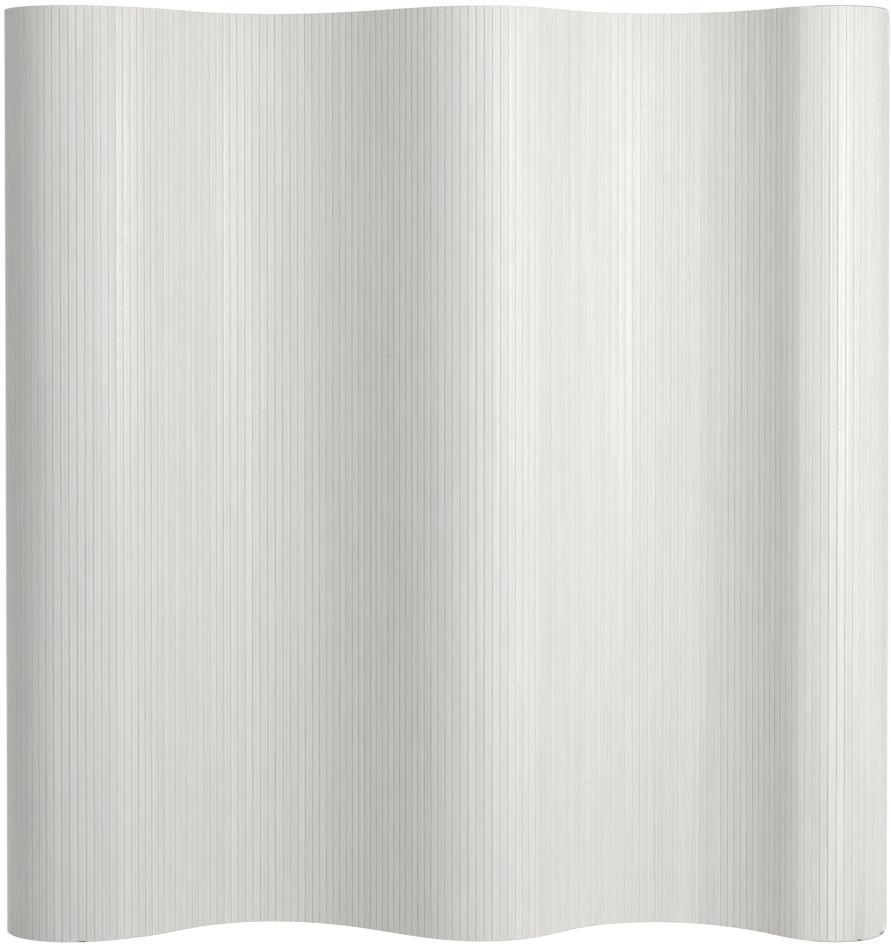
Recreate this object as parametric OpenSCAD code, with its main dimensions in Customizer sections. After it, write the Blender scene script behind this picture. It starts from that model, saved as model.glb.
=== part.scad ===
// Free-standing roll-up screen: narrow bamboo slats side by side on one sheet of backing cloth.
// The screen stands on its slat ends in a wave. The slats face -Y and the cloth lies behind them.
// The origin is at the middle of the footprint, on the floor. +Z is up and +X is to the viewer's right.

/* [Slats] */
// Height of a slat, which is the height of the screen
slat_h = 1950; // [1600:10:2000]
// Width of a slat
slat_w = 16.15; // [14:0.05:18]
// Thickness of a slat
slat_t = 4; // [3:0.1:5]
// Width of the eased front edges of a slat
slat_ease = 0.5; // [0.2:0.1:1]
// Angle at which the front edges of two slats meet, in degrees
seam_close_angle = 7.4; // [7:0.1:9]
// Number of groups of slats that fold against each other
groups = 50; // [48:1:52]

/* [Backing cloth] */
// Thickness of the cloth
cloth_t = 0.6; // [0.3:0.1:1]
// Distance from the edges of the cloth to the ends and outer edges of the slats
cloth_margin = 3; // [1:0.5:8]
// Thickness of the glue film between the slats and the cloth
glue_t = 0.2; // [0.1:0.05:0.4]

/* [Standing wave] */
// Heading of the left end slat in degrees, seen from above, where 0 is +X and 90 is +Y
left_end_heading = -98; // [-115:1:-90]
// Seams in the left bulge
left_bulge_seams = 25; // [22:1:27]
// Turn of the left bulge, in degrees
left_bulge_turn = 126; // [105:1:135]
// Seams in the shoulder between the left bulge and the left hollow
left_shoulder_seams = 9; // [5:1:11]
// Turn of the left shoulder, in degrees
left_shoulder_turn = 20; // [14:1:40]
// Seams in the left hollow
left_hollow_seams = 31; // [29:1:37]
// Turn of the left hollow, in degrees
left_hollow_turn = 91; // [80:1:110]
// Seams in the middle bulge
middle_bulge_seams = 28; // [25:1:30]
// Turn of the middle bulge, in degrees
middle_bulge_turn = 93; // [80:1:105]
// Seams in the right hollow
right_hollow_seams = 31; // [29:1:34]
// Turn of the right hollow, in degrees
right_hollow_turn = 105; // [88:1:112]
// Turn of the right bulge, which takes the seams that are left, in degrees
right_bulge_turn = 134; // [120:1:160]

/* [Shape of the bends] */
// How the left bends gather, from evenly along their seams at 0 to a half sine at 1, and more beyond
bend_roundness = 0.6; // [0.5:0.1:1]
// How the middle bulge gathers, on the same scale
middle_bulge_roundness = 1.6; // [1:0.1:2]
// How the right hollow gathers, on the same scale
right_hollow_roundness = 0.2; // [0:0.1:1]
// How the right bulge gathers, on the same scale
right_bulge_roundness = 1.5; // [1:0.1:2]
// Lean of the left bulge, which gathers to the left below 0 and to the right above
left_bulge_lean = 0.3; // [-0.2:0.1:0.6]
// Lean of the left shoulder
left_shoulder_lean = -0.5; // [-0.8:0.1:0.4]
// Lean of the left hollow
left_hollow_lean = -0.5; // [-0.8:0.1:0.4]
// Lean of the middle bulge
middle_bulge_lean = 0.5; // [-0.4:0.1:0.8]
// Lean of the right hollow
right_hollow_lean = -0.3; // [-0.8:0.1:0.4]
// Lean of the right bulge
right_bulge_lean = -0.7; // [-0.8:0.1:0.4]

/* [Hidden] */
// Slats in one group
group_slats = 3;
slats = round(groups) * group_slats;

// The seam is just wide enough for the eased front edges to meet at the closing angle
seam_gap = 2 * (slat_t - slat_ease) * tan(seam_close_angle / 2);
pitch = slat_w + seam_gap;

// Sums of the first 0, 1, 2 and more numbers of a list
function running_sums(v) = [for (k = 0, s = 0; k <= len(v); s = s + (k < len(v) ? v[k] : 0), k = k + 1) s];

// Bends from the left end to the right, with bulges positive and hollows negative
bend_turns = [
    left_bulge_turn, left_shoulder_turn, -left_hollow_turn,
    middle_bulge_turn, -right_hollow_turn, right_bulge_turn,
];

// Seam at which each bend starts, in whole seams from the left end, and the seam after the last
bend_starts = concat(
    [for (s = running_sums([
        left_bulge_seams, left_shoulder_seams, left_hollow_seams, middle_bulge_seams, right_hollow_seams,
    ])) round(s)],
    [slats - 1]
);

// Roundness and lean of each bend
bend_roundnesses = [
    bend_roundness, bend_roundness, bend_roundness,
    middle_bulge_roundness, right_hollow_roundness, right_bulge_roundness,
];
bend_leans = [
    left_bulge_lean, left_shoulder_lean, left_hollow_lean,
    middle_bulge_lean, right_hollow_lean, right_bulge_lean,
];

// Turn at each seam of one bend
function seam_turns(seams, turn, roundness, lean) =
    let (
        places = [for (i = [0:seams - 1]) (i + 0.5) / seams],
        shares = [for (x = places) pow(sin(180 * x), roundness) * (1 + lean * (2 * x - 1))],
        whole = running_sums(shares)[seams]
    )
    [for (share = shares) turn * share / whole];

// Turn at every seam, from the left end
turns = [
    for (b = [0:len(bend_turns) - 1])
        let (seams = bend_starts[b + 1] - bend_starts[b])
            each seam_turns(seams, bend_turns[b], bend_roundnesses[b], bend_leans[b])
];

// Heading of every slat
headings = [for (turned = running_sums(turns)) left_end_heading + turned];

// Seam lines in plan, along the slat backs, with the two outer edges as the first and last
seam_x = running_sums([for (a = headings) pitch * cos(a)]);
seam_y = running_sums([for (a = headings) pitch * sin(a)]);

// Plan section of a slat, with its back on the X axis and its front towards -Y
slat_section = [
    [seam_gap / 2, 0],
    [seam_gap / 2, -slat_t + slat_ease],
    [seam_gap / 2 + slat_ease, -slat_t],
    [pitch - seam_gap / 2 - slat_ease, -slat_t],
    [pitch - seam_gap / 2, -slat_t + slat_ease],
    [pitch - seam_gap / 2, 0],
];

// A point of slat k in plan, moved and turned with that slat
function on_slat(k, p) = [
    seam_x[k] + p[0] * cos(headings[k]) - p[1] * sin(headings[k]),
    seam_y[k] + p[0] * sin(headings[k]) + p[1] * cos(headings[k]),
];

// A point at seam k, at the given depth behind the slat backs, on the mitre between slats k - 1 and k
function on_seam(k, depth) = on_slat(k, [depth * tan(turns[k - 1] / 2), depth]);

// Plan line of the cloth at the given depth, from its left edge over every seam to its right edge
function cloth_line(depth) = concat(
    [on_slat(0, [seam_gap / 2 + cloth_margin, depth])],
    [for (k = [1:slats - 1]) on_seam(k, depth)],
    [on_slat(slats - 1, [pitch - seam_gap / 2 - cloth_margin, depth])]
);

function reversed(v) = [for (i = [len(v) - 1:-1:0]) v[i]];
cloth_front = cloth_line(glue_t);
cloth_back = cloth_line(glue_t + cloth_t);

// Middle of the footprint, from the outermost corners of the slats and the cloth
footprint = concat(cloth_back, [for (k = [0:slats - 1], p = slat_section) on_slat(k, p)]);
middle_x = (min([for (p = footprint) p[0]]) + max([for (p = footprint) p[0]])) / 2;
middle_y = (min([for (p = footprint) p[1]]) + max([for (p = footprint) p[1]])) / 2;

// Painted bamboo and unbleached cloth
slat_colour = [0.88, 0.87, 0.85];
cloth_colour = [0.80, 0.77, 0.70];

// Node of each group: slats_01, slats_02 and so on, from the left end to the right
function group_name(g) = str("slats_", g < 10 ? "0" : "", g);

// One slat, standing on the floor, counted from 0 at the left end
module slat(k) {
    translate([seam_x[k] - middle_x, seam_y[k] - middle_y, 0])
        rotate([0, 0, headings[k]])
            linear_extrude(slat_h) polygon(slat_section);
}

// One group of slats, counted from 1 at the left end
module slat_group(g) {
    color(slat_colour)
        for (k = [(g - 1) * group_slats:g * group_slats - 1]) slat(k);
}

// The sheet that every slat is glued to, clear of the floor
module backing_cloth() {
    color(cloth_colour)
        translate([-middle_x, -middle_y, cloth_margin])
            linear_extrude(slat_h - 2 * cloth_margin) polygon(concat(cloth_front, reversed(cloth_back)));
}

for (g = [1:slats / group_slats]) slat_group(g);
backing_cloth();
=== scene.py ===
# %% [markdown]
# A roll-up screen of painted bamboo slats, dressed for its picture.
# The real screen is about a hundred and fifty narrow slats, glued side by side to one sheet of cloth.
# It stands in a wave on the sawn ends of its slats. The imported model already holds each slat's size and
# place, so this lesson loads it first and builds every visible piece around it, in metres.

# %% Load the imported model
import math
import random

import bmesh
import bpy
import numpy as np
from mathutils import Matrix, Vector


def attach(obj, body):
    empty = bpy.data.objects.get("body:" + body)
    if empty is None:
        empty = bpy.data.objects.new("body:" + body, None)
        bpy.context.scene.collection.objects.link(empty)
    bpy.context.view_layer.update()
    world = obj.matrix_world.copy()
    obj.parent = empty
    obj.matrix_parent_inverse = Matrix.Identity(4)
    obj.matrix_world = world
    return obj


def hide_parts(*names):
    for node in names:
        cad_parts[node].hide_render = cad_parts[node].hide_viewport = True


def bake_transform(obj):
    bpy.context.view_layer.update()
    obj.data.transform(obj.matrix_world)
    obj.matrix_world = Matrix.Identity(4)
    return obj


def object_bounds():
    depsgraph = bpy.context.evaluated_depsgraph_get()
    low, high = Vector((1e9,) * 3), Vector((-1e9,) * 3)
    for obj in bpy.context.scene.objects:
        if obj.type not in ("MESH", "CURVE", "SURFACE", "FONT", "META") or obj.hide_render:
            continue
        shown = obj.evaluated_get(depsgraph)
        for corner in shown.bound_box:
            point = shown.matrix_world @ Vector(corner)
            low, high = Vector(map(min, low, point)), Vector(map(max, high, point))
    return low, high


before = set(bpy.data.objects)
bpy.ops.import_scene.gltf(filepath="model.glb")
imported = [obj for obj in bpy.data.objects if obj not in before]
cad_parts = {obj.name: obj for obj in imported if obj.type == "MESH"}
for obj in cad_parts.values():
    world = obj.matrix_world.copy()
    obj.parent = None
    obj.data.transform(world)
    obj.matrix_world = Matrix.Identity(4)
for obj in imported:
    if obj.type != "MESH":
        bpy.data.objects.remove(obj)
cad_low, cad_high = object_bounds()
groups = sorted(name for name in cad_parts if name.startswith("slats_"))
print("groups of slats:", len(groups), "size:", tuple(round(x, 3) for x in cad_high - cad_low))

# %% [markdown]
# The slats stand at slightly different angles, and a dressed slat has to stand exactly where the plain
# one does. The angles could be worked out again from the curve of the screen. Reading them off the
# packed slats is safer, because nothing can drift apart: a slat's lower end is a flat outline of six
# corners, and the two furthest back are the ends of the edge that the cloth is glued to.

# %% Where each slat stands
# Millimetres in a metre
MM = 1000
# A corner below this height stands on the floor
FLOOR_REACH = 0.001
# Corners this close are one corner, and corners this close in depth are on one side
SAME_CORNER = 0.000001
SAME_DEPTH = 0.0001


def loose_parts(mesh):
    """The lower corners of each separate solid in a mesh."""
    solid = bmesh.new()
    solid.from_mesh(mesh)
    bmesh.ops.remove_doubles(solid, verts=solid.verts, dist=SAME_CORNER)
    left = set(solid.verts)
    parts = []
    while left:
        todo = [left.pop()]
        part = []
        while todo:
            corner = todo.pop()
            part.append(corner.co.copy())
            near = {e.other_vert(corner) for e in corner.link_edges} & left
            left -= near
            todo += near
        parts.append([c for c in part if c.z < FLOOR_REACH])
    solid.free()
    return parts


def slat_stand(corners):
    """The left back corner of a slat in plan, its heading, and its width and thickness."""
    plan = np.array([c[:2] for c in corners])
    away = plan - plan.mean(axis=0)
    across = np.linalg.svd(away)[2][1]
    depth = away @ across
    if depth.max() < -depth.min():
        across = -across
        depth = -depth
    along = np.array([across[1], -across[0]])
    back = plan[depth > depth.max() - SAME_DEPTH]
    place = back @ along
    corner = back[place.argmin()]
    heading = math.atan2(along[1], along[0])
    return corner, heading, np.ptp(place), np.ptp(depth)


stands = {}
for group in groups:
    found = [slat_stand(part) for part in loose_parts(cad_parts[group].data)]
    along_group = np.array([math.cos(found[0][1]), math.sin(found[0][1])])
    stands[group] = sorted(found, key=lambda stand: stand[0] @ along_group)
row_of_slats = [stand for group in groups for stand in stands[group]]
SLAT_W = float(np.mean([stand[2] for stand in row_of_slats]))
SLAT_T = float(np.mean([stand[3] for stand in row_of_slats]))
SLAT_H = cad_high.z
print("slats:", len(row_of_slats), "width", round(SLAT_W * MM, 2), "thickness", round(SLAT_T * MM, 2),
      "height", round(SLAT_H * MM))

# %% [markdown]
# A few helpers keep the cells short. An operator acts on all that is selected, so each primitive starts
# from an empty selection, and each edit is made between entering and leaving edit mode. Every random
# draw follows from one number, so that the screen comes out the same each time.

# %% Small helpers
SEED = 7
random.seed(SEED)


def start_clean():
    bpy.ops.object.select_all(action="DESELECT")


def hold(piece):
    """Makes one piece the selected and active one."""
    start_clean()
    piece.select_set(True)
    bpy.context.view_layer.objects.active = piece


def pick(piece, kind, test):
    """Selects the edges or faces of a piece in edit mode that pass a test."""
    bpy.ops.mesh.select_all(action="DESELECT")
    bpy.ops.mesh.select_mode(type=kind)
    edit = bmesh.from_edit_mesh(piece.data)
    for part in {"EDGE": edit.edges, "FACE": edit.faces}[kind]:
        part.select = test(part)
    edit.select_flush_mode()
    bmesh.update_edit_mesh(piece.data)


def cut_across(height):
    """Cuts the piece in edit mode level at a height."""
    bpy.ops.mesh.select_all(action="SELECT")
    bpy.ops.mesh.bisect(plane_co=(0, 0, height), plane_no=(0, 0, 1))


print("random draws start from", SEED)

# %% [markdown]
# A slat is a planed strip of bamboo with a sawn end and two eased front edges, which the paint rounds
# further. It could be a plain box, but a seam is only as soft as the edges beside it. So a box of the
# slat's size is bevelled along its front edges and, less, round its two ends. It is cut across at a few
# heights too, so that each copy can wander a little, as bamboo does.

# %% Model one slat
# Width of the rounded front edges, the steps that round them, and width of the eased ends
EASE = 0.0003
EASE_STEPS = 3
END_EASE = 0.00025
# How many times the slat is cut across
CUTS = 11
# An edge where the surface turns by more than this many radians is a sharp one
SHARP = 1.2
SMOOTH_BELOW = math.radians(20)


def middle_of(edge):
    return (edge.verts[0].co + edge.verts[1].co) / 2


def upright(edge):
    return abs(edge.verts[0].co.z - edge.verts[1].co.z) > SLAT_H / 2


start_clean()
bpy.ops.mesh.primitive_cube_add(size=1, location=(SLAT_W / 2, -SLAT_T / 2, SLAT_H / 2),
                                scale=(SLAT_W, SLAT_T, SLAT_H))
slat = bpy.context.active_object
slat.name = "one_slat"
bpy.ops.object.transform_apply(location=True, rotation=True, scale=True)
bpy.ops.object.mode_set(mode="EDIT")
pick(slat, "EDGE", lambda e: upright(e) and middle_of(e).y < -SLAT_T / 2)
bpy.ops.mesh.bevel(offset=EASE, segments=EASE_STEPS)
pick(slat, "EDGE", lambda e: not upright(e) and e.calc_face_angle(0) > SHARP)
bpy.ops.mesh.bevel(offset=END_EASE, segments=1)
for cut in range(1, CUTS + 1):
    cut_across(SLAT_H * cut / (CUTS + 1))
bpy.ops.object.mode_set(mode="OBJECT")
bpy.ops.object.shade_smooth_by_angle(angle=SMOOTH_BELOW)
print("one slat:", len(slat.data.polygons), "faces")

# %% [markdown]
# Paint and grain have to follow each slat, so the slat carries a map: across it from 0 to 1, and up it
# in metres. Every copy also gets a number of its own, and the materials draw its tone and grain from
# that number. A map in metres keeps the grain at its real size whatever the slat's length. Each face
# also learns which finish it takes: the back, the ends and the sides differ from the painted front.

# %% Map the slat
FRONT, BACK, END, SIDE, BROKEN = range(5)
# How squarely a face looks one way to count as the back or an end, and as a side
SQUARE = 0.9
VERY_SQUARE = 0.99


def map_slat(mesh):
    layer = mesh.uv_layers.new(name="slat_map")
    for loop in mesh.loops:
        spot = mesh.vertices[loop.vertex_index].co
        layer.data[loop.index].uv = (min(max(spot.x / SLAT_W, 0), 1), spot.z)
    for face in mesh.polygons:
        if face.normal.y > SQUARE:
            face.material_index = BACK
        elif abs(face.normal.z) > SQUARE:
            face.material_index = END
        elif abs(face.normal.x) > VERY_SQUARE:
            face.material_index = SIDE


map_slat(slat.data)
finish_of_faces = [face.material_index for face in slat.data.polygons]
print("faces on front, back, ends and sides:", [finish_of_faces.count(n) for n in (FRONT, BACK, END, SIDE)])

# %% [markdown]
# Painted bamboo in five finishes: satin off-white paint on the front, fresh paint deep in the seams,
# bare bamboo on the back, bare sawn ends, and broken bamboo where a chip is missing, near-black from
# dirt and painted shade.
# A flat colour with a photograph on top would fix one size of grain. Noise stretched up the slat gives
# it at any distance, from the slat's own map. The helpers here add a node, add and multiply, blend two
# colours, ease a value from one number to another and make noise of a given size in millimetres.

# %% Helpers for materials
# Height in metres of one step of a bump
BUMP_STEP = 0.001


def new_material(name):
    material = bpy.data.materials.new(name)
    material.use_nodes = True
    return material, material.node_tree, material.node_tree.nodes["Principled BSDF"]


def feed(tree, node, inputs):
    """Links or sets the inputs of a node, by name or number."""
    for key, value in inputs.items():
        if isinstance(value, bpy.types.NodeSocket):
            tree.links.new(value, node.inputs[key])
        else:
            node.inputs[key].default_value = value


def put(tree, kind, inputs=(), **settings):
    """Adds a node, sets what it is, and feeds its inputs."""
    node = tree.nodes.new("ShaderNode" + kind)
    for key, value in settings.items():
        setattr(node, key, value)
    feed(tree, node, dict(inputs))
    return node


def math_node(tree, operation, *values):
    return put(tree, "Math", dict(enumerate(values)), operation=operation).outputs[0]


def times(tree, product, *factors):
    for factor in factors:
        product = math_node(tree, "MULTIPLY", product, factor)
    return product


def plus(tree, total, *terms):
    for term in terms:
        total = math_node(tree, "ADD", total, term)
    return total


def blend_colour(tree, share, below, above, how="MIX"):
    return put(tree, "Mix", {0: share, 6: below, 7: above}, data_type="RGBA", blend_type=how).outputs[2]


def ramp(tree, value, low, high, to_low=0.0, to_high=1.0):
    """Eases from one number to another while a value goes from low to high."""
    return put(tree, "MapRange", {0: value, 1: low, 2: high, 3: to_low, 4: to_high},
               interpolation_type="SMOOTHSTEP").outputs[0]


def noise(tree, place, size, detail):
    """Noise on a place in millimetres, stretched by one length in millimetres for each axis."""
    stretched = put(tree, "VectorMath", {0: place, 1: tuple(1 / s for s in size)}, operation="MULTIPLY")
    return put(tree, "TexNoise", {"Vector": stretched.outputs[0], "Scale": 1.0, "Detail": detail,
                                  "Roughness": 0.5}).outputs[0]


def white_noise(tree, dimensions, inputs):
    """A number between 0 and 1 that jumps to a new value wherever its inputs change."""
    return put(tree, "TexWhiteNoise", inputs, noise_dimensions=dimensions).outputs[0]


def raise_surface(tree, shader, height):
    """Bumps the surface by a height in steps of one millimetre."""
    bump = put(tree, "Bump", {"Strength": 1.0, "Distance": BUMP_STEP, "Height": height})
    feed(tree, shader, {"Normal": bump.outputs[0]})


print("a bump of 1 is", BUMP_STEP * MM, "mm high")

# %% [markdown]
# Every mark in the paint has its place on the slat: so many millimetres across it and up it. No two
# slats may carry the same marks, though. Copying the material for each slat would do it, and so would
# a random number for each object, but three slats share one object here. So each slat's number shifts
# the noise sideways, and the marks near an edge or an end ask how far they are from it.

# %% Where a point lies on its slat
# How far the slats' numbers, from 0 to 1, spread them in the noise
NUMBER_SPREAD = 50


def own(tree, name):
    """A number that every copy of the slat carries for itself."""
    return put(tree, "Attribute", attribute_name=name, attribute_type="GEOMETRY").outputs["Fac"]


def slat_place(tree):
    """Millimetres across and up the slat, the slat's own number, and all three as one place."""
    spot = put(tree, "SeparateXYZ", {0: put(tree, "UVMap", uv_map="slat_map").outputs[0]})
    number = own(tree, "slat_number")
    across = times(tree, spot.outputs[0], SLAT_W * MM)
    up = times(tree, spot.outputs[1], MM)
    place = put(tree, "CombineXYZ", {0: across, 1: up, 2: times(tree, number, NUMBER_SPREAD)})
    return across, up, number, place.outputs[0]


def from_rim(tree, distance, length):
    """How far a point on a stretch of this length is from the nearer end of it."""
    off_middle = math_node(tree, "ABSOLUTE", math_node(tree, "SUBTRACT", distance, length / 2))
    return math_node(tree, "SUBTRACT", length / 2, off_middle)


print("slat map:", round(SLAT_W * MM, 2), "mm across and", round(SLAT_H * MM), "mm up")

# %% [markdown]
# A bamboo cane has a joint every twenty or thirty centimetres. Planing leaves a low ridge and a faint
# line there, and the wood on its two sides differs a little in tone. Single marks could be modelled,
# but there are over a thousand. So each slat's number gives its cane a length between the joints, and
# a distance up the slat then says how far the nearest joint is.

# %% The joints of the cane
# Shortest distance between joints in millimetres, and how much longer it can be
CANE_LEAST = 190
CANE_MORE = 150
# Added to a slat's number to draw its distance between joints and the shift of its first joint
LENGTH_DRAW = 0.11
SHIFT_DRAW = 0.37
# Set beside the numbers of a length of cane to draw its tone
TONE_DRAW = 3.0
# How far the first joint can be shifted, and how far the line of a joint wobbles
CANE_SHIFT = 400
WOBBLE = 5
WOBBLE_SIZE = (7, 40, 0.01)
# Range of a joint's own number over which it goes from unseen to plain
JOINT_RANGE = (0.25, 1.0)


def cane_joints(tree, across, up, number):
    """Millimetres to the nearest joint, how strongly it shows, and a number for each length of cane."""
    def pick_number(offset):
        return white_noise(tree, "1D", {"W": plus(tree, number, offset)})

    length = plus(tree, times(tree, pick_number(LENGTH_DRAW), CANE_MORE), CANE_LEAST)
    start = times(tree, pick_number(SHIFT_DRAW), CANE_SHIFT)
    spot = put(tree, "CombineXYZ", {0: across, 1: up, 2: number}).outputs[0]
    wobble = times(tree, noise(tree, spot, WOBBLE_SIZE, 2), WOBBLE)
    turns = math_node(tree, "DIVIDE", plus(tree, up, start, wobble), length)
    nearest = math_node(tree, "ROUND", turns)
    away = math_node(tree, "ABSOLUTE", times(tree, math_node(tree, "SUBTRACT", turns, nearest), length))
    joint = put(tree, "CombineXYZ", {0: nearest, 1: number}).outputs[0]
    cane_count = math_node(tree, "FLOOR", turns)
    cane = put(tree, "CombineXYZ", {0: cane_count, 1: number, 2: TONE_DRAW}).outputs[0]
    shown = ramp(tree, white_noise(tree, "2D", {"Vector": joint}), *JOINT_RANGE)
    return away, shown, white_noise(tree, "3D", {"Vector": cane})


print("joints of the cane every", CANE_LEAST, "to", CANE_LEAST + CANE_MORE, "mm")

# %% [markdown]
# The paint is thin, so the grain shows through as faint upright streaks, and each slat has a tone of
# its own. A single off-white would look like plastic. Four sources share in the tone here: long
# streaks, finer grain, the slat and the length of cane. A very weak tint makes some parts cooler.

# %% The tone of the paint
PAINT_LIGHT = (0.845, 0.83, 0.804, 1)
PAINT_MIDDLE = (0.745, 0.73, 0.702, 1)
COOL = (0.994, 0.992, 1.006, 1)
WARM = (1.002, 1.0, 0.984, 1)
# Sizes of marks in millimetres, across the slat and up it, and in the spread of the slats' numbers
STREAK_SIZE = (3.6, 700, 1)
GRAIN_SIZE = (1.5, 180, 1)
TINT_SIZE = (40, 160, 1)
# Shares of streaks, grain, slat and cane in the tone, which add up to 1
TONE_SHARES = (0.45, 0.31, 0.12, 0.12)
# Ranges over which the paint goes from middle to light, and from cool to warm
TONE_RANGE = (0.28, 0.72)
TINT_RANGE = (0.35, 0.65)


def paint_tone(tree, place, streaks, grain, number, cane_tone):
    slat_tone = white_noise(tree, "1D", {"W": number})
    parts = zip((streaks, grain, slat_tone, cane_tone), TONE_SHARES)
    tone = plus(tree, *[times(tree, part, share) for part, share in parts])
    colour = blend_colour(tree, ramp(tree, tone, *TONE_RANGE), PAINT_MIDDLE, PAINT_LIGHT)
    tint = ramp(tree, noise(tree, place, TINT_SIZE, 1), *TINT_RANGE)
    return blend_colour(tree, 1.0, colour, blend_colour(tree, tint, COOL, WARM), "MULTIPLY")


print("shares in the tone:", TONE_SHARES)

# %% [markdown]
# A light line a few millimetres from each edge, stronger on the left of a slat, is a painted highlight
# where the eased edges catch the light. On a few slats a blotchy painted highlight runs for some length,
# where the satin paint mirrors a lamp. Both are only lighter paint, placed by the distance from the edge
# and by a number that each slat carries for its highlight. Another such number makes runs of slats
# lighter or darker: partly their own tone and partly painted light and shade.

# %% Painted highlights, and runs of tone with painted light and shade
# Colours of the painted highlight beside the edges and of the painted highlight on a few slats
EDGE_HIGHLIGHT_PAINT = (0.90, 0.885, 0.86, 1)
SLAT_HIGHLIGHT_PAINT = (0.93, 0.92, 0.90, 1)
# Millimetres from the edge between which the painted highlight rises, and between which it falls
HIGHLIGHT_RISE = (1.4, 2.6)
HIGHLIGHT_FALL = (5.4, 3.8)
# Millimetres across the slat at which the painted highlight is weak, and at which it is strong
HIGHLIGHT_SIDES = (14, 2)
HIGHLIGHT_WEAK = 0.16
HIGHLIGHT_STRONG = 0.6
# Size of the highlight's blotches, the noise range over which they come up, and their strength from and to
MOTTLE_SIZE = (2.6, 20, 1)
MOTTLE_RANGE = (0.42, 0.62)
MOTTLE_SHARES = (0.3, 1.0)


def painted_light_and_tone(tree, colour, place, across, near_edge):
    # A painted highlight beside each edge, stronger on the left of the slat
    edge_highlight = times(tree, ramp(tree, near_edge, *HIGHLIGHT_RISE), ramp(tree, near_edge, *HIGHLIGHT_FALL),
                 ramp(tree, across, *HIGHLIGHT_SIDES, HIGHLIGHT_WEAK, HIGHLIGHT_STRONG))
    colour = blend_colour(tree, edge_highlight, colour, EDGE_HIGHLIGHT_PAINT)
    # A blotchy painted highlight on a few slats, where the satin paint mirrors a lamp
    highlight_mottle = ramp(tree, noise(tree, place, MOTTLE_SIZE, 2), *MOTTLE_RANGE, *MOTTLE_SHARES)
    colour = blend_colour(tree, times(tree, highlight_mottle, own(tree, "slat_highlight")), colour, SLAT_HIGHLIGHT_PAINT)
    # Each slat's run of tone, partly its own tone and partly painted light and shade
    return blend_colour(tree, 1.0, colour, plus(tree, own(tree, "tone_and_painted_light"), 1), "MULTIPLY")


# The lighter line beside each edge is a painted highlight
print("bead of paint:", HIGHLIGHT_RISE[0], "to", HIGHLIGHT_FALL[0], "mm from the edge")

# %% [markdown]
# Handling rubs the paint thin along the seams and at the sawn ends, and a joint of the cane shows as a
# faint line. The darker paint beside the seams and at the ends is partly painted shade too, where the
# grooves and eased edges fall into shade. A dark line drawn at every edge would be too even. So a patchy
# noise says how worn a spot is, and the slat's own numbers say how dark its seams and ends get.

# %% Worn edges and ends with painted shade, and worn joints
# Dark colour of rubbed paint, which also paints shade beside the seams and at the ends
WORN_AND_SHADED_PAINT = (0.30, 0.285, 0.255, 1)
# Size of the worn patches, and ranges over which they show on joints and, more evenly, on edges
WEAR_SIZE = (3, 90, 1)
WEAR_RANGE = (0.36, 0.66)
EVEN_RANGE = (-1.2, 1.0)
# Millimetres from the edge, the end and a joint between which the darkening sets in: wear, and at edges
# and ends also painted shade
EDGE_DARKENING = (0.9, 0.3)
END_DARKENING = (2.6, 0.8)
JOINT_LINE = (2.0, 0.2)
# How far the paint darkens at most on edges and ends, from wear and painted shade, and on joints, from wear
EDGE_DARKEST = 0.95
END_DARKEST = 0.9
JOINT_GONE = 0.2


# Darkens the paint by wear at edges, ends and joints, and by painted shade beside the seams and at the ends
def wear_and_painted_shade(tree, colour, place, near_edge, near_end, joint_away, joint_shown):
    worn = ramp(tree, noise(tree, place, WEAR_SIZE, 3), *WEAR_RANGE)
    edge = times(tree, ramp(tree, near_edge, *EDGE_DARKENING), ramp(tree, worn, *EVEN_RANGE),
                 own(tree, "seam_wear_and_shade"))
    end = times(tree, ramp(tree, near_end, *END_DARKENING), own(tree, "end_wear_and_shade"))
    line = times(tree, ramp(tree, joint_away, *JOINT_LINE), joint_shown, worn)
    for mark, share in ((edge, EDGE_DARKEST), (end, END_DARKEST), (line, JOINT_GONE)):
        colour = blend_colour(tree, times(tree, mark, share), colour, WORN_AND_SHADED_PAINT)
    return colour


# The darkening beside the seams and at the ends is partly painted shade
print("wear reaches", EDGE_DARKENING[0], "mm from the edge and", END_DARKENING[0], "mm from the end")

# %% [markdown]
# Brushed satin paint has a soft shine and follows the wood below it: grain, streaks and the ridge of
# each joint. As geometry this would take millions of faces, at a tenth of a millimetre. So a bump gives
# the relief, and a thin coat, smoother in some patches than in others, gives the shine.

# %% Satin off-white paint
# Size of the shiny patches, the range of noise between them, and the roughness of the coat from and to
SHINE_SIZE = (4, 30, 1)
SHINE_RANGE = (0.35, 0.65)
COAT_ROUGHNESS = (0.12, 0.3)
PEEL_SIZE = (2.2, 7, 1)
# Millimetres on each side of a joint over which its ridge rises, and the heights of what the brush follows
RIDGE_REACH = 4.5
RIDGE_HIGH = 0.12
PEEL_HIGH = 0.02
GRAIN_HIGH = 0.05
STREAKS_HIGH = 0.1


def paint_relief(tree, place, streaks, grain, joint_away, joint_shown):
    """The height of the paint in millimetres, from the ridges, the brush, the grain and the streaks."""
    ridge = times(tree, ramp(tree, joint_away, RIDGE_REACH, 0.0), joint_shown)
    peel = noise(tree, place, PEEL_SIZE, 1)
    parts = ((ridge, RIDGE_HIGH), (peel, PEEL_HIGH), (grain, GRAIN_HIGH), (streaks, STREAKS_HIGH))
    return plus(tree, *[times(tree, part, high) for part, high in parts])


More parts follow.
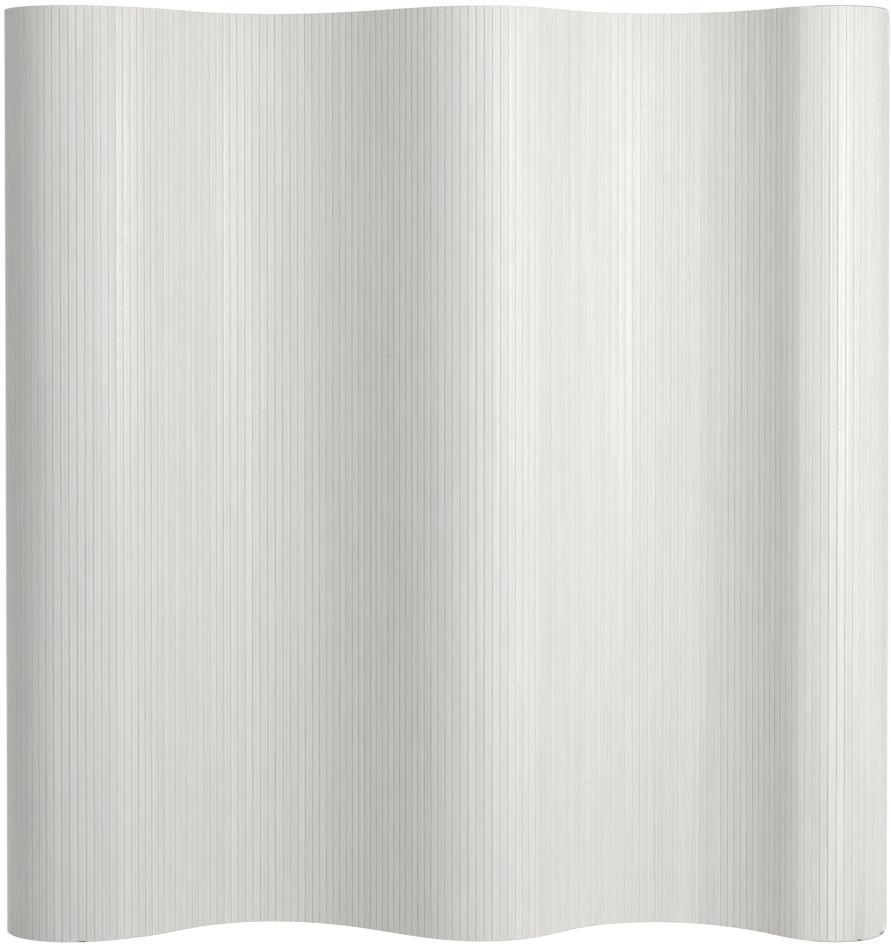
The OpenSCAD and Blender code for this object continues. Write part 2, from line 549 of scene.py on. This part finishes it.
def paint_material():
    material, tree, shader = new_material("off_white_paint")
    across, up, number, place = slat_place(tree)
    near_edge = from_rim(tree, across, SLAT_W * MM)
    near_end = from_rim(tree, up, SLAT_H * MM)
    streaks = noise(tree, place, STREAK_SIZE, 1)
    grain = noise(tree, place, GRAIN_SIZE, 2)
    joint_away, joint_shown, cane_tone = cane_joints(tree, across, up, number)
    colour = paint_tone(tree, place, streaks, grain, number, cane_tone)
    colour = painted_light_and_tone(tree, colour, place, across, near_edge)
    colour = wear_and_painted_shade(tree, colour, place, near_edge, near_end, joint_away, joint_shown)
    shine = ramp(tree, noise(tree, place, SHINE_SIZE, 2), *SHINE_RANGE, *COAT_ROUGHNESS)
    feed(tree, shader, {"Base Color": colour, "Specular IOR Level": 0.2, "Roughness": 0.45,
                        "Coat Weight": 0.15, "Coat Roughness": shine})
    raise_surface(tree, shader, paint_relief(tree, place, streaks, grain, joint_away, joint_shown))
    return material


paint = paint_material()
print("finish:", paint.name, "with", len(paint.node_tree.nodes), "nodes")

# %% [markdown]
# Behind the paint the slat is bare: planed bamboo on its back and sawn bamboo at its ends. Deep in the
# seams the paint is fresh, and where a chip is missing the fibres are near-black: dirty, and darkened as
# painted shade under the chip. All four are fibres of two close colours that run up the slat, so one
# function makes them, each from its own pair of colours.

# %% Bare bamboo, seams and breaks
# Size of the fibres in millimetres, the range of noise from dark to light, and their height
FIBRE_SIZE = (0.5, 120, 1)
FIBRE_RANGE = (0.3, 0.7)
FIBRES_HIGH = 0.05


def fibre_material(name, light, dark):
    material, tree, shader = new_material(name)
    place = slat_place(tree)[-1]
    fibres = noise(tree, place, FIBRE_SIZE, 3)
    colour = blend_colour(tree, ramp(tree, fibres, *FIBRE_RANGE), dark, light)
    feed(tree, shader, {"Base Color": colour, "Roughness": 0.75})
    raise_surface(tree, shader, times(tree, fibres, FIBRES_HIGH))
    return material


bare = fibre_material("bare_bamboo", (0.56, 0.41, 0.25, 1), (0.42, 0.29, 0.16, 1))
sawn = fibre_material("sawn_bamboo", (0.70, 0.64, 0.54, 1), (0.50, 0.42, 0.31, 1))
seam_paint = fibre_material("paint_in_the_seams", (0.96, 0.95, 0.93, 1), (0.93, 0.92, 0.90, 1))
# Near-black: dirty fibres, with the shade of the chip painted into the colour
broken = fibre_material("broken_bamboo_in_painted_shade", (0.07, 0.055, 0.04, 1), (0.03, 0.022, 0.015, 1))
for finish in (paint, bare, sawn, seam_paint, broken):
    slat.data.materials.append(finish)
print("finishes:", [m.name for m in slat.data.materials])

# %% [markdown]
# A few slats have come to harm. At the floor some lost a corner or the sharp lower edge, where the
# broken bamboo is near-black, from dirt and painted shade, and two seams have opened for a short way.
# The chips are cut off with one slanted plane each. For an open seam the slat is cut across at a few
# more heights, and its edge is drawn in between them. Slats are counted from 0 at the left end.

# %% Chipped corners and open seams
# Slat, side of the chip from -1 to 1, and its width, height and depth
CHIPS = (
    (136, 1, 0.006, 0.0035, 0.003),
    (137, -1, 0.011, 0.0045, 0.0035),
    (141, 1, 0.008, 0.005, 0.0016),
    (142, 0, SLAT_W, 0.0045, 0.0012),
    (143, 0, SLAT_W, 0.0045, 0.0012),
    (20, 0, SLAT_W, 0.0022, 0.0008),
)
# Slat, height of the middle of the gap, half its length and how far the right edge is drawn in
OPEN_SEAMS = (
    (27, 0.385, 0.07, 0.0005),
    (19, 1.853, 0.01, 0.0004),
)
# Where a slat is cut across for its gap, from -1 at the lower end to 1 at the upper
GAP_CUTS = (-1, -0.5, 0, 0.5, 1)
# How closely a face looks along the slant of the cut to be the chip
ON_THE_CUT = 0.999


def rows_of(table, k):
    """The rows of a table that are for slat k."""
    return [row for row in table if row[0] == k]


def chip_corner(piece, side, wide, high, deep):
    """Cuts the lower front edge away, all along it or from one corner."""
    slant = Vector((side / wide, -1 / deep, -1 / high)).normalized()
    place = Vector((SLAT_W / 2 + side * (SLAT_W / 2 - wide), -SLAT_T, 0))
    if side == 0:
        place.z = high
    hold(piece)
    bpy.ops.object.mode_set(mode="EDIT")
    bpy.ops.mesh.select_all(action="SELECT")
    bpy.ops.mesh.bisect(plane_co=place, plane_no=slant, use_fill=True, clear_outer=True)
    pick(piece, "FACE", lambda f: f.normal.dot(slant) > ON_THE_CUT)
    piece.active_material_index = BROKEN
    bpy.ops.object.material_slot_assign()
    bpy.ops.object.mode_set(mode="OBJECT")


def cut_for_gap(piece, height, half):
    hold(piece)
    bpy.ops.object.mode_set(mode="EDIT")
    for share in GAP_CUTS:
        cut_across(height + share * half)
    bpy.ops.object.mode_set(mode="OBJECT")


print("chips:", len(CHIPS), "open seams:", len(OPEN_SEAMS))

# %% [markdown]
# Bamboo is never quite straight. The seams of the real screen wander by a fraction of a millimetre. It
# could be faked in the paint, but then it would vanish from the side. So every seam gets a line of its
# own, a slow random walk up the screen, and the edges of both its slats will follow it.

# %% How the seams wander
# Size of the walk in metres
WANDER = 0.00022
# Share of each step that carries on to the next, size of the new part, and share that is used
CARRIED = 0.75
FRESH = 0.66
USED = 0.6
LEVELS = CUTS + 2


def wandering_line(reach):
    """Offsets at each level, from a slow random walk that is brought back to its middle."""
    steps = [random.gauss(0, 1)]
    for _ in range(LEVELS - 1):
        steps.append(steps[-1] * CARRIED + random.gauss(0, 1) * FRESH)
    return [step * reach * USED for step in steps]


seam_lines = [wandering_line(WANDER) for _ in range(len(row_of_slats) + 1)]
seam_lines[0] = seam_lines[-1] = [0.0] * LEVELS
widest = max(abs(offset) for line in seam_lines for offset in line)
print("seams:", len(seam_lines), "widest wander", round(widest * MM, 2), "mm")

# %% [markdown]
# Each slat also lies a little turned, so that single slats catch the light. Turning it could press it
# into its neighbour. So its front is planed a little lower on one side instead: a front is only ever
# lowered and an edge only cut back further than its neighbour's, and the slats can't meet.

# %% Shape one slat
# At most, how far an edge is cut back, how much lower a front is on one side, and how that changes
NARROW = 0.00002
LEAN = 0.00013
LEAN_CHANGE = 0.00006
# The leans are squeezed towards flat by this power, so that few slats lean much
FEW_LEAN = 1.5
# Points further forward than this share of the thickness belong to the front
FRONT_SHARE = 0.6
# Slat, lower and upper end of the stretch that is turned to the right, and by how much its edge is lower
TURNED = (
    (25, 1.1, 1.8, 0.0004),
    (83, 0.9, 1.9, 0.00025),
    (103, 1.0, 1.9, 0.00025),
)


def front_line(base):
    return [max(0.0, base + step) for step in wandering_line(LEAN_CHANGE)]


def at_level(line, level):
    """The offset of a line at a level between two of its steps."""
    below = min(int(level), LEVELS - 2)
    part = level - below
    return line[below] * (1 - part) + line[below + 1] * part


def shape_slat(mesh, k):
    """Moves the edges of slat k to its two seam lines and lowers its front on one side."""
    narrow = [[random.random() * NARROW for _ in range(LEVELS)] for _ in range(2)]
    low_side = random.random() < 0.5
    low = front_line(random.random() ** FEW_LEAN * LEAN)
    high = front_line(0.0)
    fronts = (low, high) if low_side else (high, low)
    for v in mesh.vertices:
        z = v.co.z
        level = z / SLAT_H * (LEVELS - 1)
        share = v.co.x / SLAT_W
        left = at_level(seam_lines[k], level) + at_level(narrow[0], level)
        right = at_level(seam_lines[k + 1], level) - at_level(narrow[1], level)
        left_front, right_front = [at_level(front, level) for front in fronts]
        for _, height, half, drawn in rows_of(OPEN_SEAMS, k):
            right -= drawn * max(0.0, 1 - ((z - height) / half) ** 2)
        for _, bottom, top, lower in rows_of(TURNED, k):
            right_front += lower * (bottom < z < top)
        v.co.x += left * (1 - share) + right * share
        if v.co.y < -SLAT_T * FRONT_SHARE:
            v.co.y += left_front * (1 - share) + right_front * share


print("fronts lean by up to", round(LEAN * MM, 2), "mm, slats turned for part of a length:", len(TURNED))

# %% [markdown]
# The screen has not worn evenly. The paint beside some seams and at some ends is darker, partly rubbed
# and partly painted shade. Runs of slats are lighter or darker, partly in their own tone and partly as
# painted light and shade, and a few slats carry stretches of painted highlight. Chance could decide all
# this, but then nothing would stand where the eye looks for it. So short tables say which slats are
# meant, counted from 0 at the left end.

# %% How the slats have aged, and where light and shade are painted on them
# Slat and how dark the paint is beside its seams there, from 0 to 1: rubbed paint and painted shade
SEAM_WEAR_AND_SHADE = (
    (0, 0.5), (16, 0.5), (19, 0.0), (23, 0.0), (26, 0.45), (31, 0.5), (35, 0.3), (39, 0.45), (45, 0.6),
    (54, 0.7), (60, 1.0), (70, 1.0), (78, 0.2), (84, 0.0), (112, 0.0), (118, 0.9), (126, 0.9), (130, 0.0),
    (149, 0.0),
)
# First and last slat of a run that is lighter or darker than its neighbours, and by what share: partly
# the slats' own tone and partly painted light and shade
TONE_AND_PAINTED_LIGHT_RUNS = (
    (10, 17, 0.03), (21, 24, -0.045), (25, 25, 0.02), (43, 52, 0.02), (82, 82, -0.06), (110, 112, 0.04),
    (125, 128, -0.05), (129, 130, 0.06), (135, 137, -0.06), (140, 149, 0.04),
)
# Slat, the stretch of it that carries a painted highlight, and how much it shows
SLAT_HIGHLIGHTS = (
    (25, 1.05, 1.86, 0.6), (26, 1.0, 1.88, 0.45), (27, 1.4, 1.8, 0.15), (42, 1.1, 1.85, 0.5),
    (43, 1.2, 1.7, 0.2), (83, 1.3, 1.85, 0.2), (84, 1.1, 1.8, 0.15), (102, 1.1, 1.9, 0.15),
    (103, 1.1, 1.85, 0.3), (104, 1.2, 1.8, 0.2), (134, 1.0, 1.9, 0.35),
)
# First and last slat of a run whose ends are darker, from wear and painted shade, and the darkening at
# those ends and the others
WORN_AND_SHADED_ENDS = (131, 143)
ENDS_DARK = 0.9
ENDS_LIGHT = 0.2


def seam_wear_and_shade(k):
    return float(np.interp(k, *zip(*SEAM_WEAR_AND_SHADE)))


def tone_and_painted_light(k):
    return sum(share for first, last, share in TONE_AND_PAINTED_LIGHT_RUNS if first <= k <= last)


def slat_highlight(k, z):
    """Full in the middle half of a stretch, and fading towards its two ends."""
    share = 0.0
    for _, bottom, top, much in rows_of(SLAT_HIGHLIGHTS, k):
        part = (z - bottom) / (top - bottom)
        share += much * float(np.interp(part, (0, 0.25, 0.75, 1), (0, 1, 1, 0)))
    return share


def end_wear_and_shade(k):
    return ENDS_DARK if WORN_AND_SHADED_ENDS[0] <= k <= WORN_AND_SHADED_ENDS[1] else ENDS_LIGHT


# The stretches of thick paint are painted highlights, and the runs of shade are partly painted light and
# shade
print("runs of shade:", len(TONE_AND_PAINTED_LIGHT_RUNS), "stretches of thick paint:", len(SLAT_HIGHLIGHTS))

# %% [markdown]
# Now the screen is set up slat by slat, each a copy with a mesh, a shape and numbers of its own. A
# hundred and fifty bodies would be more than the model has: it folds at every third seam. So the three
# slats of a group are joined into one piece, which takes the place of the plain group and rides on it.

# %% Set up the slats
def give(mesh, name, value):
    """Writes a number to every vertex, worked out from its height."""
    layer = mesh.attributes.new(name, "FLOAT", "POINT")
    layer.data.foreach_set("value", [value(v.co.z) for v in mesh.vertices])


def one_copy(k, corner, heading):
    """Slat k, shaped, numbered and standing in its place."""
    copy = slat.copy()
    copy.data = slat.data.copy()
    bpy.context.collection.objects.link(copy)
    for _, height, half, _ in rows_of(OPEN_SEAMS, k):
        cut_for_gap(copy, height, half)
    for _, side, wide, high, deep in rows_of(CHIPS, k):
        chip_corner(copy, side, wide, high, deep)
    shape_slat(copy.data, k)
    number = random.random()
    give(copy.data, "slat_number", lambda z: number)
    give(copy.data, "seam_wear_and_shade", lambda z: seam_wear_and_shade(k))
    give(copy.data, "end_wear_and_shade", lambda z: end_wear_and_shade(k))
    give(copy.data, "tone_and_painted_light", lambda z: tone_and_painted_light(k))
    give(copy.data, "slat_highlight", lambda z: slat_highlight(k, z))
    copy.data.transform(Matrix.Translation((corner[0], corner[1], 0)) @ Matrix.Rotation(heading, 4, "Z"))
    return copy


k = 0
for group in groups:
    copies = []
    for corner, heading, _, _ in stands[group]:
        copies.append(one_copy(k, corner, heading))
        k += 1
    hold(copies[0])
    for copy in copies:
        copy.select_set(True)
    bpy.ops.object.join()
    piece = bpy.context.active_object
    piece.name = "painted_" + group
    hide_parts(group)
    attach(piece, group)
bpy.data.objects.remove(slat)

# %% [markdown]
# The backing cloth is one sheet of plain unbleached cotton, glued to every slat. It bends at each seam.
# Its line could be a smooth curve, but it would leave the slats it is glued to. So it runs along the
# flat back of each slat, a glue film behind it, and bends in the open seam. The seam is as wide as in
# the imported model: two fronts with their flats of half a millimetre meet when it folds by 7.4 degrees.

# %% The line that the cloth follows
# Thickness of the glue film and of the cloth, and how far the cloth stays from ends and outer edges
GLUE = 0.0002
CLOTH_T = 0.0006
CLOTH_MARGIN = 0.003
# Flat on the front edges of a packed slat, and the fold at which two fronts meet
FRONT_FLAT = 0.0005
CLOSING_ANGLE = math.radians(7.4)
SEAM = 2 * (SLAT_T - FRONT_FLAT) * math.tan(CLOSING_ANGLE / 2)
PITCH = SLAT_W + SEAM


def slat_point(k, along, depth):
    """A point beside the back of slat k: this far along it and this far behind it."""
    corner, heading = row_of_slats[k][:2]
    return (corner[0] + along * math.cos(heading) - depth * math.sin(heading),
            corner[1] + along * math.sin(heading) + depth * math.cos(heading))


print("seam:", round(SEAM * MM, 3), "pitch:", round(PITCH * MM, 3), "mm")

# %% [markdown]
# The cloth is a plain weave: threads of about a millimetre that cross over and under, with thicker
# places along some of them. Modelled threads would be hundreds of thousands. Two sine waves across each
# other give the weave and long noises give the slubs, as colour and as a bump. The front of the cloth
# has taken the paint that ran through the seams, so it is the same weave in the colour of the paint.

# %% Unbleached cotton, bare behind and painted in front
# Width of a thread, and the sizes of the slubs in both directions, in millimetres
THREAD = 1.1
SLUB_UP = (2.0, 60, 1)
SLUB_ACROSS = (60, 2.0, 1)
# Shares of weave and slubs in the tone, the range from dark to light, and the heights of both
WEAVE_SHARE = 0.15
SLUB_SHARE = 0.5
CLOTH_RANGE = (0.2, 0.8)
WEAVE_HIGH = 0.08
SLUBS_HIGH = 0.1


def cloth_material(name, light, dark):
    material, tree, shader = new_material(name)
    spot = put(tree, "SeparateXYZ", {0: put(tree, "UVMap", uv_map="weave_map").outputs[0]})
    across = times(tree, spot.outputs[0], MM)
    up = times(tree, spot.outputs[1], MM)
    place = put(tree, "CombineXYZ", {0: across, 1: up}).outputs[0]
    warp = math_node(tree, "SINE", times(tree, across, math.pi / THREAD))
    weft = math_node(tree, "SINE", times(tree, up, math.pi / THREAD))
    weave = times(tree, warp, weft)
    slubs = plus(tree, noise(tree, place, SLUB_UP, 2), noise(tree, place, SLUB_ACROSS, 2))
    tone = plus(tree, times(tree, weave, WEAVE_SHARE), times(tree, slubs, SLUB_SHARE))
    colour = blend_colour(tree, ramp(tree, tone, *CLOTH_RANGE), dark, light)
    feed(tree, shader, {"Base Color": colour, "Roughness": 0.9, "Sheen Weight": 0.2})
    raise_surface(tree, shader, plus(tree, times(tree, weave, WEAVE_HIGH), times(tree, slubs, SLUBS_HIGH)))
    return material


cotton = cloth_material("plain_weave_cotton", (0.70, 0.655, 0.56, 1), (0.60, 0.55, 0.45, 1))
painted_cotton = cloth_material("paint_on_the_cloth", (0.96, 0.95, 0.93, 1), (0.93, 0.92, 0.90, 1))
print("finishes:", cotton.name, painted_cotton.name)

# %% [markdown]
# One solid sheet could not fold at forty-nine hinges, so the cloth is made as strips. Each reaches from
# the middle of one group of slats to the middle of the next, and its line turns with the slats at each
# seam. They share one map, so the weave runs on across them. Each strip starts as a flat grid, whose
# map holds the size it is cut to, is laid on the backs of its slats and then gets its thickness.

# %% Lay the cloth
CLOTH_H = SLAT_H - 2 * CLOTH_MARGIN
# Rows of faces up the cloth, and slats in a group
ROWS = 12
GROUP = 3
MIDDLE = SLAT_W / 2
# Half the width of cloth that bends at a hinge
BEND_HALF = 0.0012
# Distances along a slat at which the cloth has a line of points between its edges
CLOTH_STOPS = (BEND_HALF, 0.006, 0.01, SLAT_W - BEND_HALF)


def strip_line(first, last, left_cut, right_cut):
    """Points of the cloth in plan from slat first to slat last, each as (distance along, x, y)."""
    points = []
    for k in range(first, last + 1):
        begin = left_cut if k == first else 0.0
        end = right_cut if k == last else SLAT_W
        inner = [stop for stop in CLOTH_STOPS if begin < stop < end]
        for stop in [begin, *inner, end]:
            points.append((k * PITCH + stop, *slat_point(k, stop, GLUE)))
    return points


def lay_strip(name, first, last, left_cut, right_cut):
    """One strip of cloth on the backs of its slats, painted in front and bare behind."""
    line = strip_line(first, last, left_cut, right_cut)
    start_clean()
    bpy.ops.mesh.primitive_grid_add(x_subdivisions=len(line) - 1, y_subdivisions=ROWS, size=1)
    strip = bpy.context.active_object
    strip.name = name
    layer = strip.data.uv_layers.active or strip.data.uv_layers.new()
    layer.name = "weave_map"
    spots = [(round((v.co.x + 0.5) * (len(line) - 1)), v.co.y + 0.5) for v in strip.data.vertices]
    for v, (column, up) in zip(strip.data.vertices, spots):
        _, x, y = line[column]
        v.co = (x, y, CLOTH_MARGIN + up * CLOTH_H)
    for loop in strip.data.loops:
        column, up = spots[loop.vertex_index]
        layer.data[loop.index].uv = (line[column][0], CLOTH_MARGIN + up * CLOTH_H)
    strip.data.materials.append(painted_cotton)
    strip.data.materials.append(cotton)
    thick = strip.modifiers.new("thickness", "SOLIDIFY")
    thick.thickness = CLOTH_T
    thick.offset = -1
    thick.material_offset = 1
    thick.material_offset_rim = 1
    bpy.ops.object.modifier_apply(modifier=thick.name)
    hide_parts("backing_cloth")
    return strip


last_slat = len(row_of_slats) - 1
left = lay_strip("cloth_left_end", 0, 1, CLOTH_MARGIN, MIDDLE)
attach(left, groups[0])
strips = [left]
for g in range(len(groups) - 1):
    k = GROUP * g + 1
    strip = lay_strip(f"cloth_{g + 1:02d}", k, k + GROUP, MIDDLE, MIDDLE)
    heading = (row_of_slats[k + 1][1] + row_of_slats[k + 2][1]) / 2
    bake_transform(strip)
    strips.append(strip)
right = lay_strip("cloth_right_end", last_slat - 1, last_slat, MIDDLE, SLAT_W - CLOTH_MARGIN)
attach(right, groups[-1])
strips.append(right)
print("cloth strips:", len(strips))

# %% [markdown]
# The floor is plain and pale. The photograph has a white ground with no horizon. More light would burn
# out the screen, so it is the floor's and the world's own colour that turns white, and only where the
# camera or a reflection looks. For all other light the floor is a pale grey and the world dimmer.

# %% The floor and the background
FLOOR_SIZE = 60
FLOOR_GREY = (0.8, 0.8, 0.8, 1)
WHITE = (1, 1, 1, 1)
# Strength of the white that the eye sees in the floor, and its share there
FLOOR_GLOW = 1.2
GLOW_SHARE = 0.75
# Strength of the world as a light, and as the eye sees it
WORLD_LIGHT = 0.36
WORLD_SEEN = 1.0


def seen_by_eye(tree):
    """1 for a ray from the camera or by way of a reflection or a clear piece, and else 0."""
    rays = put(tree, "LightPath").outputs
    indirect = math_node(tree, "MAXIMUM", rays["Is Glossy Ray"], rays["Is Transmission Ray"])
    return math_node(tree, "MAXIMUM", rays["Is Camera Ray"], indirect)


start_clean()
bpy.ops.mesh.primitive_plane_add(size=FLOOR_SIZE, location=(0, 0, 0))
floor = bpy.context.active_object
floor.name = "floor"
floor_paint, tree, shader = new_material("pale_floor")
feed(tree, shader, {"Base Color": FLOOR_GREY, "Roughness": 0.9, "Specular IOR Level": 0.1})
glow = put(tree, "Emission", {0: WHITE, 1: FLOOR_GLOW})
mixed = put(tree, "MixShader", {0: times(tree, seen_by_eye(tree), GLOW_SHARE), 1: shader.outputs[0],
                                2: glow.outputs[0]})
feed(tree, tree.nodes["Material Output"], {0: mixed.outputs[0]})
floor.data.materials.append(floor_paint)

world = bpy.data.worlds.new("studio")
bpy.context.scene.world = world
world.use_nodes = True
tree = world.node_tree
tree.nodes.clear()
strength = put(tree, "MapRange", {0: seen_by_eye(tree), 3: WORLD_LIGHT, 4: WORLD_SEEN}).outputs[0]
sky = put(tree, "Background", {0: WHITE, 1: strength})
put(tree, "OutputWorld", {0: sky.outputs[0]})
print("floor", FLOOR_SIZE, "m wide, world as a light", WORLD_LIGHT)

# %% [markdown]
# The picture was taken from about seven metres, a little above the middle of the screen, and its upright
# lines hardly close in towards the floor. So the camera is level but for a degree or two, and its frame
# is shifted down, as a shift lens does it. A camera tilted to the middle would draw the foot narrower.

# %% The camera
LENS = 134.05
SENSOR = 36
# Shift of the frame as a share of its width, and the turns of the camera down and to the right
FRAME_SHIFT = -0.1032
EYE = (-0.2608, -7.4209, 1.375)
LOOK_DOWN = math.radians(1.5)
LOOK_RIGHT = math.radians(1.946)

camera_data = bpy.data.cameras.new("camera")
camera = bpy.data.objects.new("camera", camera_data)
bpy.context.scene.collection.objects.link(camera)
camera_data.lens = LENS
camera_data.sensor_width = SENSOR
camera_data.shift_y = FRAME_SHIFT
camera.location = EYE
camera.rotation_euler = (math.radians(90) - LOOK_DOWN, 0, -LOOK_RIGHT)
bpy.context.scene.camera = camera
print("camera:", tuple(round(x, 3) for x in camera.location))

# %% [markdown]
# A studio lights white paint softly, or it burns out. In the photograph the bulges are brightest where
# they face a little to the right, and the light falls off slowly towards the floor. So one tall panel
# stands in front to the right, a wide one hangs high in front, and a faint one stands far to the right.
# One more hangs behind for the cloth and hardly reaches the front. The world fills the shadows. Together
# they give a level at which the paint shows its own colour.

# %% The lights
# Name of the panel, its place, the point it faces, its width and height in metres, and its watts
PANELS = (
    ("tall_panel", (2.1, -2.8, 1.45), (0.1, 0, 1.3), (0.9, 1.3), 41),
    ("high_panel", (0, -3.5, 4.2), (0, 0, 1), (3, 2.5), 58.5),
    ("side_panel", (4.7, -1.71, 1.3), (0, 0, 1.3), (0.8, 1.8), 10),
    ("back_panel", (0.6, 4, 3.2), (0, 0, 1), (3, 2.5), 65),
)


def panel(name, place, aim, size, power):
    lamp = bpy.data.lights.new(name, "AREA")
    lamp.shape = "RECTANGLE"
    lamp.size, lamp.size_y = size
    lamp.energy = power
    holder = bpy.data.objects.new(name, lamp)
    bpy.context.scene.collection.objects.link(holder)
    holder.location = place
    holder.rotation_euler = (Vector(aim) - Vector(place)).to_track_quat("-Z", "Y").to_euler()
    holder.visible_camera = False


for name, place, aim, size, power in PANELS:
    panel(name, place, aim, size, power)
    print(name, round(power / (size[0] * size[1])), "W/m2")
bpy.context.scene.view_settings.view_transform = "Standard"
